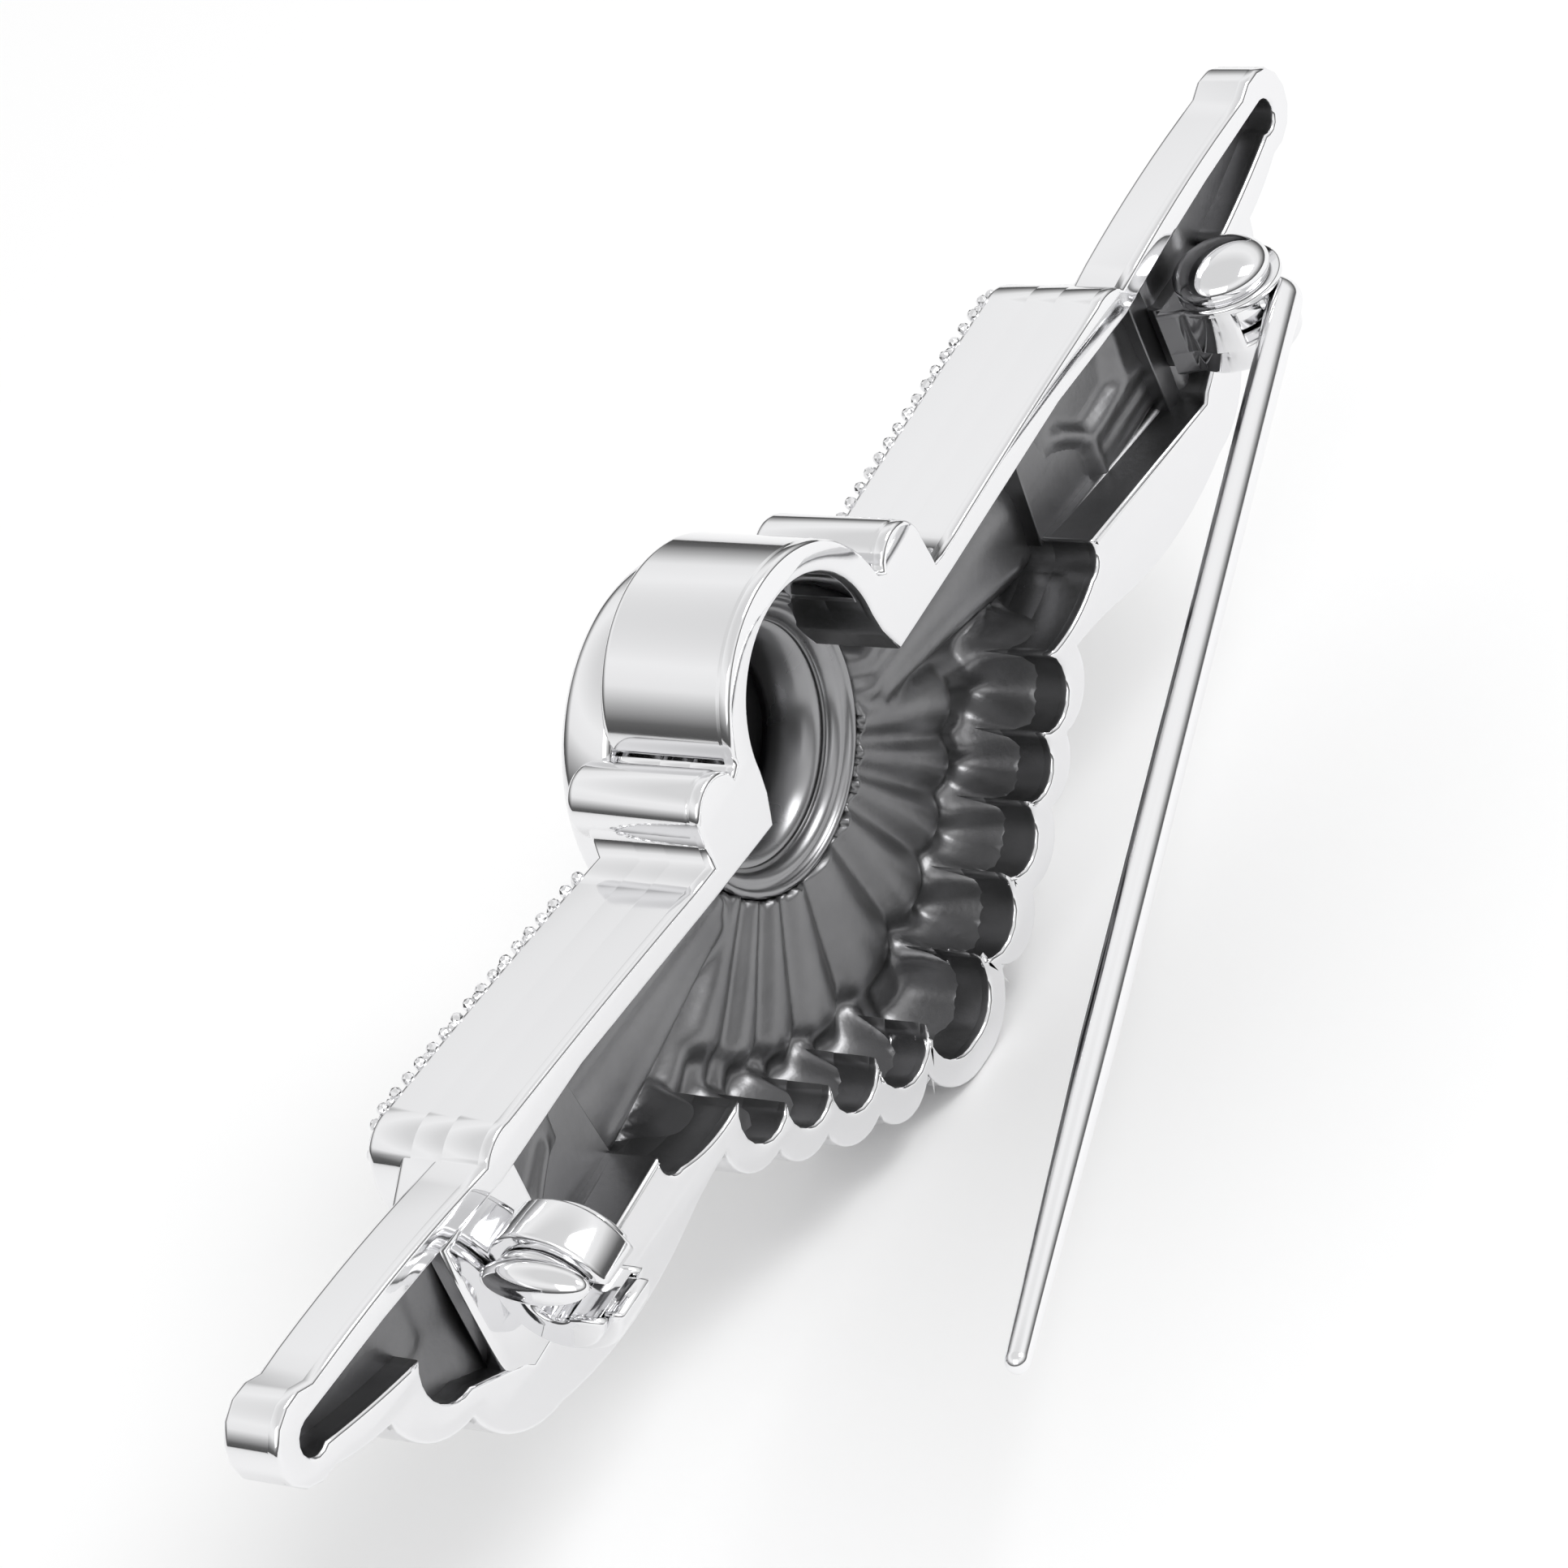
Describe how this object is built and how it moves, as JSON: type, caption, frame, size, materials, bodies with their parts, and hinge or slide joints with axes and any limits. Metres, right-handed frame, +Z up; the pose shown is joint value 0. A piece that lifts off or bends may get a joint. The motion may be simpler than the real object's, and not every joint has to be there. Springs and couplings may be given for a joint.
{
  "type": "pilot wings pin",
  "caption": "Winged brooch with a hollow cast back, a domed medallion in a round collar, edge stones, a hinged pin stem and a turning safety catch.",
  "frame": {"origin": "centre of the half-round drum above the wings, on the plane of the back rim", "axes": "+X along the span from the hinge towards the catch, +Y out of the back towards the garment, +Z up towards the leading edge"},
  "size_m": [0.0584, 0.0236, 0.0183],
  "materials": {
    "casting": "polished outside, darkened satin in the hollow",
    "collar": "polished",
    "dome": "polished front, blackened back",
    "crystal": "cut and polished",
    "findings": "polished",
    "wire": "polished wire"
  },
  "bodies": {
    "brooch": {"wing_casting": "casting", "medallion_collar": "collar", "medallion_dome": "dome", "left_edge_stones": "crystal", "right_edge_stones": "crystal", "left_shoulder_stone": "crystal", "right_shoulder_stone": "crystal", "hinge_lug": "findings", "hinge_rivet": "findings", "catch_bridge": "findings", "catch_ring": "findings"},
    "pin": {"pin_stem": "wire"},
    "safety": {"catch_sleeve": "findings", "sleeve_lever": "findings"}
  },
  "joints": [
    {"name": "pin_hinge", "type": "hinge", "parent": "brooch", "child": "pin", "pos_m": [-0.022, 0.0009, -0.00345], "axis": [0, 0, 1], "range_deg": [-19.25, 60]},
    {"name": "sleeve_turn", "type": "hinge", "parent": "brooch", "child": "safety", "pos_m": [0.0192, 0.0016, -0.00345], "axis": [-1, 0, 0], "range_deg": [0, 110]}
  ]
}
